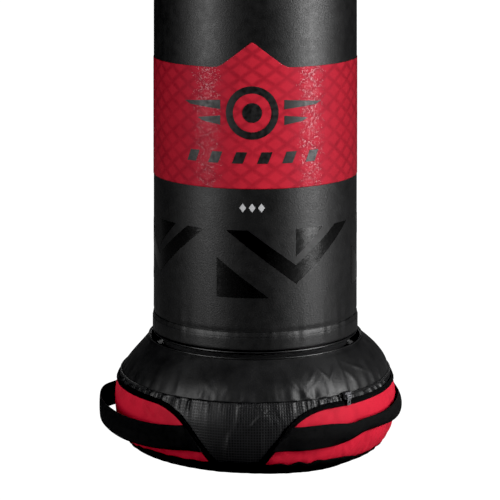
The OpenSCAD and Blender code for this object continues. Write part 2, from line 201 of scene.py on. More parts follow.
def soft_skirt(angle, height, folds=0.0, proud=0.0):
    """A point on the soft base, which sags and folds, moved out by proud."""
    return on_skirt(angle, height, held_out(sag(angle, height) + folds) + proud)


def gathers(angle, height):
    """Fabric gathered into the shoulder seam, fading down the skirt."""
    below = SEAM_Z - height
    tight = ripple(angle, height, 21, 110, 190, slide=8, terms=9) * np.exp(-below / (12 * MM))
    loose = ripple(angle, height, 22, 45, 85, slide=14, terms=8) * np.exp(-below / (30 * MM))
    patchy = 0.65 + 0.45 * ripple(angle, height, 23, 5, 13)
    return (1.1 * MM * tight + 2.9 * MM * loose) * patchy * fade(below, 0.0, 5 * MM)


# ---- The front and rear panels' edges ----

ARC_Z = PANEL_Z1 - PANEL_CURVE_R
BEND_Z = ARC_Z + PANEL_CURVE_R * math.sin(PANEL_LEAN)
BEND_X = PANEL_FOOT_W + (BEND_Z - PANEL_Z0) * math.tan(PANEL_LEAN)
ARC_X = BEND_X + PANEL_CURVE_R * math.cos(PANEL_LEAN)
LINE_STEPS = 16
ARC_STEPS = 18


# The panels run on down behind the edge of the black foot.
PANEL_FOOT_Z = PANEL_Z0 - 9 * MM


def edge_points(lowest):
    """Heights up a panel's edge from lowest, and its half width there."""
    line_z = np.linspace(lowest, BEND_Z, LINE_STEPS, endpoint=False)
    line_x = PANEL_FOOT_W + (line_z - PANEL_Z0) * math.tan(PANEL_LEAN)
    bend = np.linspace(PANEL_LEAN, math.pi / 2, ARC_STEPS)
    height = np.concatenate([line_z, ARC_Z + PANEL_CURVE_R * np.sin(bend)])
    half_width = np.concatenate([line_x, ARC_X - PANEL_CURVE_R * np.cos(bend)])
    return height, half_width


# ---- Meshes ----

def new_piece(mesh, material, body, replaces=(), smooth=True):
    """Makes an object of a mesh, under its name, sets it on its body, if any, and hides the frame's parts that
    it replaces.
    """
    mesh.validate()
    mesh.update()
    mesh.polygons.foreach_set("use_smooth", [smooth] * len(mesh.polygons))
    mesh.materials.append(material)
    piece = bpy.data.objects.new(mesh.name, mesh)
    bpy.context.scene.collection.objects.link(piece)
    if body:
        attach(piece, body)
    if replaces:
        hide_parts(*replaces)
    return piece


def unit(vectors):
    return vectors / np.maximum(np.linalg.norm(vectors, axis=-1, keepdims=True), 1e-12)


def quads(index, wrap_columns, wrap_rows=False):
    """Faces of a grid of vertex numbers, facing out when columns run with the angle and rows run up."""
    if wrap_columns:
        index = np.concatenate([index, index[:, :1]], axis=1)
    if wrap_rows:
        index = np.concatenate([index, index[:1]], axis=0)
    return np.stack([index[:-1, :-1], index[:-1, 1:], index[1:, 1:], index[1:, :-1]], axis=-1).reshape(-1, 4)


def mesh_of(name, points, faces, cloth=None):
    """A mesh from points and faces. cloth gives each point its place on the flat fabric, in metres."""
    mesh = bpy.data.meshes.new(name)
    mesh.from_pydata(np.asarray(points).reshape(-1, 3).tolist(), [], [list(map(int, face)) for face in faces])
    if cloth is not None:
        layer = mesh.uv_layers.new(name="cloth")
        place = np.asarray(cloth).reshape(-1, 2)
        corners = np.array([loop.vertex_index for loop in mesh.loops])
        layer.data.foreach_set("uv", place[corners].ravel())
    return mesh


def shell(name, outer, thickness, wrap, cloth=None):
    """A closed sheet of fabric: outer is a grid of points, and its inside lies thickness behind it."""
    if wrap:
        along = np.roll(outer, -1, axis=1) - np.roll(outer, 1, axis=1)
    else:
        along = np.gradient(outer, axis=1)
    up = np.gradient(outer, axis=0)
    inner = outer - unit(np.cross(along, up)) * thickness
    rows, columns = outer.shape[:2]
    front = np.arange(rows * columns).reshape(rows, columns)
    back = front + rows * columns
    faces = [quads(front, wrap), quads(back, wrap)[:, ::-1]]
    faces.append(quads(np.stack([back[0], front[0]]), wrap))
    faces.append(quads(np.stack([front[-1], back[-1]]), wrap))
    if not wrap:
        faces.append(quads(np.stack([front[:, 0], back[:, 0]], axis=0), False))
        faces.append(quads(np.stack([back[:, -1], front[:, -1]], axis=0), False))
    if cloth is not None:
        cloth = np.concatenate([cloth.reshape(-1, 2)] * 2)
    return mesh_of(name, np.stack([outer, inner]), np.concatenate(faces), cloth)


def path_frames(points, outward, closed):
    """Directions along a path, across it, and out of the surface that it lies on."""
    if closed:
        along = np.roll(points, -1, axis=0) - np.roll(points, 1, axis=0)
    else:
        along = np.gradient(points, axis=0)
    along = unit(along)
    across = unit(np.cross(outward, along))
    return along, across, np.cross(along, across)


def strip_profile(half_width, thickness, points=9):
    """A flat strip's outline, with rounded edges: pairs of across and out."""
    across = np.sin(np.linspace(-math.pi / 2, math.pi / 2, points))
    out = thickness / 2 * (1 - np.abs(across) ** 8) ** 0.25
    top = np.stack([across * half_width, out], axis=1)
    return np.concatenate([top, (top * [1, -1])[-2:0:-1]])


def face_outwards(mesh):
    sheet = bmesh.new()
    sheet.from_mesh(mesh)
    bmesh.ops.recalc_face_normals(sheet, faces=sheet.faces)
    sheet.to_mesh(mesh)
    sheet.free()


def run_along(points):
    """How far each point of a path is from its start, along the path."""
    return np.concatenate([[0], np.cumsum(np.linalg.norm(np.diff(points, axis=0), axis=1))])


def tube(name, grid, cloth, closed=False):
    """A closed mesh from a row of outlines, with flat ends or joined end to end."""
    index = np.arange(grid.shape[0] * grid.shape[1]).reshape(grid.shape[:2])
    faces = list(quads(index, True, closed))
    if not closed:
        faces += [index[0], index[-1][::-1]]
    mesh = mesh_of(name, grid, faces, cloth)
    face_outwards(mesh)
    return mesh


def sweep(name, points, outward, profile, closed=False):
    """A mesh of one outline carried along a path."""
    along, across, out = path_frames(points, outward, closed)
    grid = points[:, None] + across[:, None] * profile[:, :1] + out[:, None] * profile[:, 1:]
    place = np.stack(np.broadcast_arrays(run_along(points)[:, None], profile[:, 0]), axis=-1)
    return tube(name, grid, place, closed)


def copies(name, shape, faces, places, across, out, along):
    """A mesh of one small shape set at many places. Its points are given across, out and along."""
    shape = np.array(shape)
    directions = enumerate((across, out, along))
    points = places[:, None] + sum(way[:, None] * shape[:, i:i + 1] for i, way in directions)
    starts = np.arange(len(places)) * len(shape)
    return mesh_of(name, points, [[start + i for i in face] for start in starts for face in faces])


def sew(name, body, rows, pitch, length, radius):
    """Short raised threads, end to end along each row: its points, outward directions, and closed or not."""
    sides = 5
    ring = [(radius * math.cos(turn), radius * math.sin(turn)) for turn in around(sides)]
    shape = [(0, -radius, -length / 2)]
    shape += [(x, y, end * length) for end in (-0.25, 0.25) for x, y in ring]
    shape.append((0, -radius, length / 2))
    faces = []
    for i in range(sides):
        j = (i + 1) % sides
        near_i, near_j, far_i, far_j = 1 + i, 1 + j, 1 + sides + i, 1 + sides + j
        faces += [(0, near_j, near_i), (near_i, near_j, far_j, far_i), (1 + 2 * sides, far_i, far_j)]
    spots = []
    for path, outward, closed in rows:
        if closed:
            path = np.concatenate([path, path[:1]])
            outward = np.concatenate([outward, outward[:1]])
        run = run_along(path)
        middles = np.arange(pitch / 2, run[-1], pitch)

        def at(vectors, shift=0.0):
            return np.stack([np.interp(middles + shift, run, vectors[:, i]) for i in range(3)], axis=1)

        out = unit(at(outward))
        along = unit(at(path, pitch / 4) - at(path, -pitch / 4))
        spots.append((at(path), unit(np.cross(out, along)), out, along))
    mesh = copies(name, shape, faces, *(np.concatenate(part) for part in zip(*spots)))
    new_piece(mesh, THREAD, body)


# ---- Materials ----

class Look:
    """A material's nodes, added one at a time. Lengths are in metres in object space."""

    def __init__(self, name, **surface):
        self.material = bpy.data.materials.new(name)
        self.material.use_nodes = True
        self.tree = self.material.node_tree
        self.shader = self.tree.nodes["Principled BSDF"]
        self.set(**surface)

    def plug(self, socket, value):
        if isinstance(value, bpy.types.NodeSocket):
            self.tree.links.new(value, socket)
        else:
            socket.default_value = value

    def set(self, **surface):
        for key, value in surface.items():
            self.plug(self.shader.inputs[key.replace("_", " ")], value)

    def add(self, kind, out=0, settings=None, **inputs):
        node = self.tree.nodes.new("ShaderNode" + kind)
        for key, value in (settings or {}).items():
            setattr(node, key, value)
        for key, value in inputs.items():
            self.plug(node.inputs[key.replace("_", " ")], value)
        return node.outputs[out]

    def math(self, operation, *values):
        node = self.tree.nodes.new("ShaderNodeMath")
        node.operation = operation
        for socket, value in zip(node.inputs, values):
            self.plug(socket, value)
        return node.outputs[0]

    def place(self):
        return self.add("TexCoord", out="Object")

    def cloth(self):
        """Across and along the flat fabric, in metres, as two sockets."""
        node = self.tree.nodes.new("ShaderNodeSeparateXYZ")
        self.plug(node.inputs[0], self.add("UVMap", settings={"uv_map": "cloth"}))
        return node.outputs[0], node.outputs[1]

    def noise(self, scale, detail=2.0, roughness=0.5, vector=None):
        vector = vector or self.place()
        return self.add("TexNoise", Vector=vector, Scale=scale, Detail=detail, Roughness=roughness)

    def cells(self, scale, out="Distance"):
        return self.add("TexVoronoi", out=out, Vector=self.place(), Scale=scale)

    def range(self, value, low, high, to_low, to_high):
        return self.add("MapRange", Value=value, From_Min=low, From_Max=high, To_Min=to_low, To_Max=to_high)

    def patches(self, scale, detail, low, high, spread=0.2):
        """Soft cloudy patches, each with a value from low to high. A smaller spread has harder edges."""
        return self.range(self.noise(scale, detail=detail), 0.5 - spread, 0.5 + spread, low, high)

    def from_line(self, run):
        """0 halfway between two whole numbers, rising to 0.5 at each whole number."""
        return self.math("ABSOLUTE", self.math("SUBTRACT", self.math("FRACT", run), 0.5))

    def mix(self, factor, a, b):
        node = self.tree.nodes.new("ShaderNodeMix")
        node.data_type = "RGBA"
        self.plug(node.inputs[0], factor)
        self.plug(node.inputs[6], a)
        self.plug(node.inputs[7], b)
        return node.outputs[2]

    def bump(self, height, distance, strength=1.0, below=None):
        inputs = {"Height": height, "Distance": distance, "Strength": strength}
        if below is not None:
            inputs["Normal"] = below
        normal = self.add("Bump", **inputs)
        self.plug(self.shader.inputs["Normal"], normal)
        return normal


BLACK = (0, 0, 0, 1)


def grey(value):
    return (value, value, value * 1.04, 1)


def darker(colour, part):
    return tuple(channel * part for channel in colour[:3]) + (1,)


def vinyl(name, shade, roughness, grain=0.12, shine=0.42):
    """Black coated fabric with a fine leather grain and faint mottling."""
    look = Look(name, Specular_IOR_Level=shine)
    mottle = look.patches(22, 4, 0, 1, spread=0.15)
    look.set(Base_Color=look.mix(mottle, grey(shade * 0.8), grey(shade * 1.25)))
    look.set(Roughness=look.patches(60, 3, roughness - 0.04, roughness + 0.05))
    normal = look.bump(look.cells(900), grain * MM, strength=0.5)
    look.bump(look.noise(330, detail=4), grain * 4.5 * MM, strength=0.6, below=normal)
    return look.material


def print_film(name, colour, roughness):
    """A smooth print on the vinyl, whose grain shows through a little."""
    look = Look(name)
    mottle = look.patches(70, 3, 0.85, 1.1)
    look.set(Base_Color=look.mix(mottle, BLACK, colour))
    look.set(Roughness=look.patches(140, 2, roughness * 0.8, roughness * 1.3))
    look.bump(look.cells(700), 0.05 * MM, strength=0.35)
    return look.material


LATTICE_W = 45 * MM
LATTICE_H = 31.5 * MM


def painted_edge_shade(look, colour, shade_depth=0.6):
    """Painted shade: a colour that darkens where its surface turns away from the view, standing in for the
    light that falls off towards the bag's edges.
    """
    facing = look.add("LayerWeight", out="Facing", Blend=0.5)
    unshaded = look.math("SUBTRACT", 1.0, look.math("MULTIPLY", look.math("POWER", facing, 0.7), shade_depth))
    return look.mix(unshaded, BLACK, colour)


def lattice_vinyl():
    """Red vinyl with a soft printed diamond lattice, and a metallic sparkle along its pressed lines."""
    look = Look("red_lattice_vinyl", Specular_IOR_Level=0.11, Specular_Tint=(1.0, 0.45, 0.75, 1))
    around, up = look.cloth()
    lines = None
    for sign in (1, -1):
        run = look.math("MULTIPLY_ADD", up, sign / LATTICE_H, look.math("MULTIPLY", around, 1 / LATTICE_W))
        off = look.from_line(run)
        lines = off if lines is None else look.math("MAXIMUM", lines, off)
    soft = {"interpolation_type": "SMOOTHSTEP"}
    line = look.add("MapRange", settings=soft, Value=lines, From_Min=0.24, From_Max=0.46)
    cloudy = look.patches(18, 3, 0.45, 1.0, spread=0.15)
    line = look.math("MULTIPLY", line, cloudy)
    shade = look.mix(line, (0.485, 0.0225, 0.038, 1), (0.34, 0.0165, 0.028, 1))
    tone = look.patches(40, 3, 0.90, 1.08, spread=0.15)
    # The red gets painted shade towards its edges, where it turns away from the view.
    look.set(Base_Color=painted_edge_shade(look, look.mix(tone, BLACK, shade)))
    look.set(Roughness=look.patches(160, 3, 0.42, 0.55))
    below = look.bump(look.cells(800), 0.10 * MM, strength=0.4)
    # The sparkle is a clear coat with a rough, faceted surface of its own.
    spark = look.range(look.noise(260, detail=2), 0.50, 0.62, 0, 1)
    look.set(Coat_Weight=look.math("MULTIPLY_ADD", spark, look.range(lines, 0.2, 0.5, 0.22, 0.45), 0.02))
    look.set(Coat_Tint=(1.0, 0.72, 0.85, 1))
    look.set(Coat_Roughness=0.10)
    facets = look.add("Bump", Height=look.cells(380), Distance=0.35 * MM, Strength=0.5, Normal=below)
    look.set(Coat_Normal=facets)
    return look.material


def woven(name, colour, roughness, pitch, depth):
    """Plain woven cloth: threads over and under at a pitch."""
    look = Look(name, Specular_IOR_Level=0.04)
    around, up = look.cloth()
    waves = [look.math("SINE", look.math("MULTIPLY", run, TAU / pitch)) for run in (around, up)]
    weave = look.math("MULTIPLY", *waves)
    mottle = look.patches(30, 4, 0.85, 1.12, spread=0.15)
    dark = darker(colour, 0.72)
    cloth = look.mix(look.range(weave, -1, 1, 0, 1), dark, colour)
    look.set(Base_Color=look.mix(mottle, BLACK, cloth))
    look.set(Roughness=look.patches(90, 2, roughness - 0.05, roughness + 0.06))
    normal = look.bump(weave, depth, strength=0.6)
    look.bump(look.noise(240, detail=3), depth * 0.6, strength=0.3, below=normal)
    return look.material


def ripstop():
    """Shiny black cloth with a raised square grid."""
    look = Look("ripstop_black", Specular_IOR_Level=0.30)
    pitch = 5.2 * MM
    bars = None
    for run in look.cloth():
        off = look.from_line(look.math("MULTIPLY", run, 1 / pitch))
        bars = off if bars is None else look.math("MAXIMUM", bars, off)
    bar = look.range(bars, 0.30, 0.40, 0, 1)
    look.set(Base_Color=look.mix(bar, (0.0012, 0.0012, 0.0012, 1), (0.013, 0.013, 0.014, 1)))
    look.set(Roughness=look.range(bar, 0, 1, 0.48, 0.34))
    normal = look.bump(bar, 0.35 * MM, strength=0.6)
    look.bump(look.noise(300, detail=3), 0.1 * MM, strength=0.4, below=normal)
    return look.material


def webbing(name, shade, pitch=2.2 * MM):
    """Heavy strap with slanted ribs that meet along its middle."""
    look = Look(name, Specular_IOR_Level=0.07)
    along, across = look.cloth()
    slant = look.math("ADD", along, look.math("ABSOLUTE", across))
    rib = look.math("SINE", look.math("MULTIPLY", slant, TAU / pitch))
    thread = look.math("SINE", look.math("MULTIPLY", across, TAU / (1.6 * MM)))
    height = look.math("ADD", rib, look.math("MULTIPLY", thread, 0.5))
    fuzz = look.patches(120, 4, 0.7, 1.3)
    tone = look.mix(look.range(rib, -1, 1, 0, 1), grey(shade * 0.6), grey(shade * 1.3))
    look.set(Base_Color=look.mix(fuzz, BLACK, tone), Roughness=0.72)
    look.bump(height, 0.25 * MM, strength=0.7)
    return look.material


def foam(name, colour, chips=None):
    """Cut foam: fine open cells, or pressed chips of several shades."""
    look = Look(name, Roughness=0.95)
    if chips:
        tone = look.add("RGBToBW", Color=look.cells(chips, out="Color"))
        look.set(Base_Color=look.mix(tone, darker(colour, 0.6), colour))
    else:
        look.set(Base_Color=look.mix(look.noise(35, detail=4), darker(colour, 0.85), colour))
    look.bump(look.cells(650), 0.3 * MM, strength=0.7)
    return look.material


def plywood():
    look = Look("plywood", Roughness=0.62)
    stretched = look.add("Mapping", Vector=look.place(), Scale=(2, 26, 260))
    figure = look.noise(3, detail=6, roughness=0.6, vector=stretched)
    look.set(Base_Color=look.mix(figure, (0.62, 0.43, 0.25, 1), (0.36, 0.22, 0.11, 1)))
    look.bump(figure, 0.2 * MM, strength=0.5)
    return look.material


def paper_board():
    look = Look("paper_board", Roughness=0.85)
    wound = look.add("Mapping", Vector=look.place(), Rotation=(0.5, 0, 0), Scale=(4, 4, 60))
    layers = look.noise(1, detail=5, vector=wound)
    look.set(Base_Color=look.mix(layers, (0.50, 0.36, 0.22, 1), (0.36, 0.25, 0.14, 1)))
    look.bump(look.noise(420, detail=3), 0.1 * MM, strength=0.5)
    return look.material


def metal(name, colour, roughness, scratch=0.2):
    look = Look(name, Metallic=1.0)
    worn = look.noise(90, detail=5, roughness=0.65)
    look.set(Base_Color=look.mix(look.range(worn, 0.35, 0.7, 0, 1), darker(colour, 0.75), colour))
    look.set(Roughness=look.range(worn, 0.3, 0.7, roughness * 0.8, roughness * 1.35))
    look.bump(look.noise(500, detail=3), 0.05 * MM, strength=scratch)
    return look.material


def moulded(name, shade, roughness, speckle=260):
    look = Look(name, Specular_IOR_Level=0.45)
    look.set(Base_Color=look.mix(look.noise(50, detail=3), grey(shade * 0.8), grey(shade * 1.2)))
    look.set(Roughness=look.patches(80, 2, roughness - 0.06, roughness + 0.06))
    look.bump(look.noise(speckle, detail=4), 0.12 * MM, strength=0.4)
    return look.material


VINYL = vinyl("black_vinyl", 0.0035, 0.44)
SHOULDER_VINYL = vinyl("black_vinyl_soft", 0.0070, 0.45, grain=0.10, shine=0.34)
PIPING = vinyl("black_piping", 0.006, 0.36, grain=0.05)
UNDERSIDE = vinyl("black_underside", 0.0015, 0.75, grain=0.2, shine=0.1)
GLOSS_PRINT = print_film("gloss_black_print", (0.0012, 0.0012, 0.0012, 1), 0.17)
BLACK_PRINT = print_film("satin_black_print", (0.003, 0.003, 0.003, 1), 0.46)
PALE_PRINT = print_film("pale_grey_print", (0.46, 0.46, 0.47, 1), 0.45)
LATTICE_RED = lattice_vinyl()
RED_CLOTH = woven("red_nylon", (0.60, 0.0210, 0.044, 1), 0.45, 0.9 * MM, 0.08 * MM)
RIPSTOP = ripstop()
WEBBING = webbing("black_webbing", 0.0065)
TAPE = webbing("black_binding", 0.0034, pitch=1.4 * MM)
THREAD = woven("black_thread", (0.012, 0.012, 0.013, 1), 0.6, 0.5 * MM, 0.05 * MM)
COIL = moulded("black_coil", 0.02, 0.35)
GUNMETAL = metal("gunmetal", (0.16, 0.16, 0.17, 1), 0.34)
ZINC = metal("zinc_plate", (0.60, 0.60, 0.58, 1), 0.38)
PAINTED_STEEL = moulded("painted_steel", 0.03, 0.42, speckle=420)
NYLON = moulded("moulded_nylon", 0.035, 0.5)
RUBBER = moulded("black_rubber", 0.02, 0.8, speckle=600)
WHITE_FOAM = foam("white_foam", (0.74, 0.73, 0.69, 1))
GREY_FOAM = foam("pressed_foam", (0.42, 0.42, 0.46, 1), chips=90)
PLYWOOD = plywood()
PAPER_BOARD = paper_board()
SAND_BAG = vinyl("sand_bag_vinyl", 0.09, 0.55, grain=0.2)

CAD_LOOKS = (
    (PIPING, "hem_welt top_welt"),
    (WHITE_FOAM, "foam_jacket crown_pad bumper_foam_ring shoulder_foam_ring deck_foam"),
    (GREY_FOAM, "foam_core"),
    (PAPER_BOARD, "core_tube"),
    (PLYWOOD, "column_plate base_plate"),
    (NYLON, "tube_plug socket_cup socket_retainer"),
    (ZINC, "cup_screws post_bolts post_washers tee_nuts"),
    (PAINTED_STEEL, "neck_post"),
    (RUBBER, "rebound_bushing floor_mat neck_sleeve"),
    (SAND_BAG, "ballast_bag_front ballast_bag_right ballast_bag_rear ballast_bag_left"),
    (WEBBING, "handle_anchors"),
    (GUNMETAL, "rear_zip_slider rear_zip_pull base_zip_slider base_zip_pull"),
)
for look_material, node_names in CAD_LOOKS:
    for node_name in node_names.split():
        materials = frame["nodes"][node_name].data.materials
        materials.clear()
        materials.append(look_material)


# ---- Column ----

def column_surface(angle, height, lift=0.0):
    """The padded column's soft surface: nearly round, a little drawn in and puckered at its hem seam."""
    soft = 0.5 * MM * ripple(angle, height, 31, 2, 6, slide=5)
    soft += 0.25 * MM * ripple(angle, height, 32, 8, 15, slide=14)
    above = np.abs(height - HEM_TOP_Z)
    pucker = 0.55 * MM * ripple(angle, height, 33, 26, 60, slide=10) * np.exp(-above / (22 * MM))
    drawn = 0.9 * MM * np.exp(-(above / (5 * MM)) ** 2)
    return polar(angle, COLUMN_R - 0.6 * MM + soft + pucker - drawn + lift, height)


def around(count):
    return np.linspace(0, TAU, count, endpoint=False)


def flat_place(angle, height):
    """Where a grid of the base's points lies on the flat fabric."""
    return np.stack(np.broadcast_arrays(angle * BASE_R, height), axis=-1)


def build_column_cover():
    height = np.concatenate([
        np.linspace(HEM_Z, HEM_TOP_Z + 30 * MM, 24), np.linspace(HEM_TOP_Z + 40 * MM, TOP_Z - 16 * MM, 84),
        np.linspace(TOP_Z - 12 * MM, TOP_Z, 5)])[:, None]
    angle = around(256)[None]
    mesh = shell("column_vinyl", column_surface(angle, height), 2.2 * MM, True)
    new_piece(mesh, VINYL, "column", ("column_cover",))


def build_hem_band():
    """The doubled band at the column's foot, stitched along its top edge and rolled in at its foot."""
    seam_drop = 9 * MM
    part = np.linspace(0, 1, 18)[:, None]
    height = HEM_Z + 0.6 * MM + part * (HEM_TOP_Z - HEM_Z - 0.6 * MM)
    angle = around(360)[None]
    roll = 1.2 * MM * fade(part, 0.10, 0.0) + 1.0 * MM * fade(part, 0.62, 1.0)
    dimple = 0.25 * MM * np.exp(-((height - HEM_TOP_Z + seam_drop) / (1.4 * MM)) ** 2)
    pucker = 0.15 * MM * ripple(angle, height, 41, 40, 95, slide=30) * fade(part, 0.3, 0.9)
    outer = column_surface(angle, height, 1.9 * MM - roll - dimple + pucker)
    new_piece(shell("hem_strip", outer, 1.2 * MM, True), VINYL, "column", ("hem_band",))
    row = column_surface(around(360), HEM_TOP_Z - seam_drop, 1.9 * MM)
    outward = unit(row * [1, 1, 0])
    sew("hem_stitches", "column", [(row, outward, True)], 4.6 * MM, 3.8 * MM, 0.3 * MM)


def build_top():
    """The crowned top, drawn down at its piped edge."""
    angle = around(192)[None]
    part = np.linspace(0, 1, 26)[:, None]
    radius = (COLUMN_R + 0.3 * MM) * np.maximum(1 - part, 0.0015)
    crown = (CROWN_Z - 2.5 * MM - TOP_Z) * (1 - (radius / COLUMN_R) ** 2.6)
    pucker = 0.7 * MM * ripple(angle, radius, 51, 24, 52) * fade(part, 0.22, 0.02) * fade(part, 0.0, 0.03)
    soft = 0.8 * MM * ripple(angle, radius, 52, 2, 5) * fade(part, 0.0, 0.3) * (1 - fade(part, 0.6, 1.0))
    outer = polar(angle, radius, TOP_Z + 2.2 * MM + crown + pucker + soft)
    new_piece(shell("top_vinyl", outer, 2.0 * MM, True), VINYL, "column", ("top_panel",))
    ring = polar(around(240), COLUMN_R - 7 * MM, TOP_Z + 4.4 * MM)
    row = (ring, np.broadcast_to([0.0, 0.0, 1.0], ring.shape), True)
    sew("top_stitches", "column", [row], 5.5 * MM, 4.4 * MM, 0.42 * MM)


def peak_top(run):
    """The band's upper edge at a distance round the column from its front."""
    rounding = 0.07
    part = 1 - np.abs(run) / PEAK_W
    soft = rounding * np.logaddexp(0, part / rounding)
    return BAND_TOP_Z + PEAK_H * np.minimum(soft, 1 - rounding * 0.4 * np.exp(-(np.abs(run) / (5 * MM)) ** 2))


def lattice_depth(run, height):
    """How deep the lattice's pressed lines are, 0 to 1."""
    depth = 0
    for sign in (1, -1):
        off = np.abs((run / LATTICE_W + sign * height / LATTICE_H) % 1 - 0.5) * 2
        depth = np.maximum(depth, np.exp(-((1 - off) / 0.16) ** 2))
    return depth


def build_red_band():
    half_tape = 16 * MM
    half_run = math.pi * COLUMN_R - half_tape
    run = np.linspace(-half_run, half_run, 701)
    rows = np.linspace(0, 1, 132)[:, None]
    height = BAND_Z + rows * (peak_top(run)[None] - BAND_Z)
    angle = TURN + run[None] / COLUMN_R
    outer = column_surface(angle, height, 0.75 * MM - 0.15 * MM * lattice_depth(run[None], height))
    cloth = np.stack(np.broadcast_arrays(run[None], height), axis=-1)
    mesh = shell("red_band_vinyl", outer, 0.6 * MM, False, cloth)
    new_piece(mesh, LATTICE_RED, "column", ("red_band",))


def decal(name, shapes, lift, material):
    """Thin prints wrapped on the column. A shape is an outline of (distance round, height) points."""
    cell = 7 * MM
    print_t = 0.25 * MM
    sheet = bmesh.new()
    for shape in shapes:
        sheet.faces.new([sheet.verts.new((x, 0, z)) for x, z in shape])
    bmesh.ops.remove_doubles(sheet, verts=sheet.verts, dist=0.01 * MM)
    for axis, across in ((0, Vector((1, 0, 0))), (2, Vector((0, 0, 1)))):
        places = [v.co[axis] for v in sheet.verts]
        for cut in np.arange(math.ceil(min(places) / cell), max(places) / cell) * cell:
            everything = sheet.verts[:] + sheet.edges[:] + sheet.faces[:]
            spot = across * float(cut)
            bmesh.ops.bisect_plane(sheet, geom=everything, dist=0.01 * MM, plane_co=spot, plane_no=across)
    bmesh.ops.triangulate(sheet, faces=sheet.faces)
    flat = np.array([v.co[:] for v in sheet.verts])
    faces = np.array([[v.index for v in f.verts] for f in index_faces(sheet)])
    borders = [loop_order(e) for e in sheet.edges if len(e.link_faces) == 1]
    angle = TURN + flat[:, 0] / COLUMN_R
    outer = column_surface(angle, flat[:, 2], lift)
    inner = column_surface(angle, flat[:, 2], lift - print_t)
    # The side walls have corners of their own, so that the print is shaded as smoothly as the vinyl under it.
    count = len(outer)
    walls = [(b + 2 * count, a + 2 * count, a + 3 * count, b + 3 * count) for a, b in borders]
    sheet.free()
    every = [tuple(f) for f in faces] + [tuple(f[::-1] + count) for f in faces] + walls
    mesh = mesh_of(name, np.concatenate([outer, inner] * 2), every)
    new_piece(mesh, material, "column")


def index_faces(sheet):
    """Numbers a flat sheet's corners, and turns its faces to the front."""
    sheet.verts.ensure_lookup_table()
    sheet.verts.index_update()
    sheet.faces.ensure_lookup_table()
    for face in sheet.faces:
        if face.calc_area() > 0 and face.normal.y > 0:
            face.normal_flip()
    return sheet.faces


def loop_order(edge):
    """A border edge's ends, in the order in which its one face runs through them."""
    loop = edge.link_loops[0]
    return loop.vert.index, loop.link_loop_next.vert.index


def wrap_run(shapes):
    """Four copies of a set of shapes, a quarter turn apart."""
    quarter = TAU * COLUMN_R / 4
    return [[(x + i * quarter, z) for x, z in shape] for i in range(-2, 2) for shape in shapes]


CHEVRON_TOP = 450 * MM
CHEVRON_MIDDLE = 86.5 * MM
PRINT_LIFT = 0.35 * MM
BAND_PRINT_LIFT = 1.05 * MM


def build_chevrons():
    """Glossy chevrons and triangles, four times round the column."""
    inner_w, outer_w = 95 * MM, 137 * MM
    inner_z, outer_z = 381 * MM, 345 * MM
    m = CHEVRON_MIDDLE
    left_arm = [(m - outer_w, CHEVRON_TOP), (m, outer_z), (m, inner_z), (m - inner_w, CHEVRON_TOP)]
    right_arm = [(m + outer_w, CHEVRON_TOP), (m + inner_w, CHEVRON_TOP), (m, inner_z), (m, outer_z)]
    inner = [(m, CHEVRON_TOP), (m, 398 * MM), (m + 62 * MM, CHEVRON_TOP)]
    foot_z = 321 * MM
    lower = [(m - 156.5 * MM, 397 * MM), (m - 156.5 * MM, foot_z), (m - 54.5 * MM, foot_z)]
    shapes = wrap_run([left_arm, right_arm, inner, lower])
    decal("gloss_chevrons", shapes, PRINT_LIFT, GLOSS_PRINT)


def ring_shapes(x, z, inner_r, outer_r, count=64):
    turn = np.linspace(0, TAU, count + 1)
    return [[(x + r * math.cos(t), z + r * math.sin(t)) for r, t in
             ((inner_r, a), (outer_r, a), (outer_r, b), (inner_r, b))] for a, b in zip(turn[:-1], turn[1:])]


def build_emblem():
    """A plain target with tapered side bars, a row of slanted blocks, and three small diamonds."""
    mid_z = 674.5 * MM
    shapes = ring_shapes(0, mid_z, 37 * MM, 51 * MM)
    dot_r = 19 * MM
    shapes.append([(dot_r * math.cos(t), mid_z + dot_r * math.sin(t)) for t in around(40)])
    start, half_h = 62 * MM, 9 * MM
    for side in (1, -1):
        for z, reach in ((mid_z + 15 * MM, 142 * MM), (mid_z - 15 * MM, 112 * MM)):
            bar = [(side * start, z - half_h), (side * (reach - 12 * MM), z - half_h / 3),
                   (side * reach, z + half_h / 3), (side * start, z + half_h)]
            shapes.append(bar if side > 0 else bar[::-1])
    block_w, block_h, slant, step = 30 * MM, 22 * MM, 9 * MM, 48.5 * MM
    low = 577.5 * MM
    for i in range(6):
        x = (i - 2.5) * step - block_w / 2
        high = low + block_h
        shapes.append([(x, low), (x + block_w - slant, low), (x + block_w, high), (x + slant, high)])
    decal("strike_target", shapes, BAND_PRINT_LIFT, BLACK_PRINT)
    w, h, z = 6.5 * MM, 8.5 * MM, 493 * MM
    diamonds = [[(x - w, z), (x, z - h), (x + w, z), (x, z + h)] for x in (-18 * MM, 0, 18 * MM)]
    decal("small_diamonds", diamonds, PRINT_LIFT, PALE_PRINT)


TOOTH_PITCH = 3.2 * MM


def zip_teeth(zip_name, body, places, out, along, size):
    """A zip's teeth: one block with two cut corners at each place. size is across, out and along."""
    corner = 0.55
    ring = [(-1, -1), (1, -1), (1, corner), (corner, 1), (-corner, 1), (-1, corner)]
    half_w, half_h, length = size[0] / 2, size[1] / 2, size[2]
    shape = [(x * half_w, y * half_h, end * length) for end in (-0.5, 0.5) for x, y in ring]
    n = len(ring)
    faces = [range(n), range(2 * n - 1, n - 1, -1)]
    faces += [((i + 1) % n, i, n + i, n + (i + 1) % n) for i in range(n)]
    mesh = copies(zip_name + "_teeth", shape, faces, places, np.cross(along, out), out, along)
    face_outwards(mesh)
    new_piece(mesh, COIL, body, (zip_name + "_chain",), smooth=False)


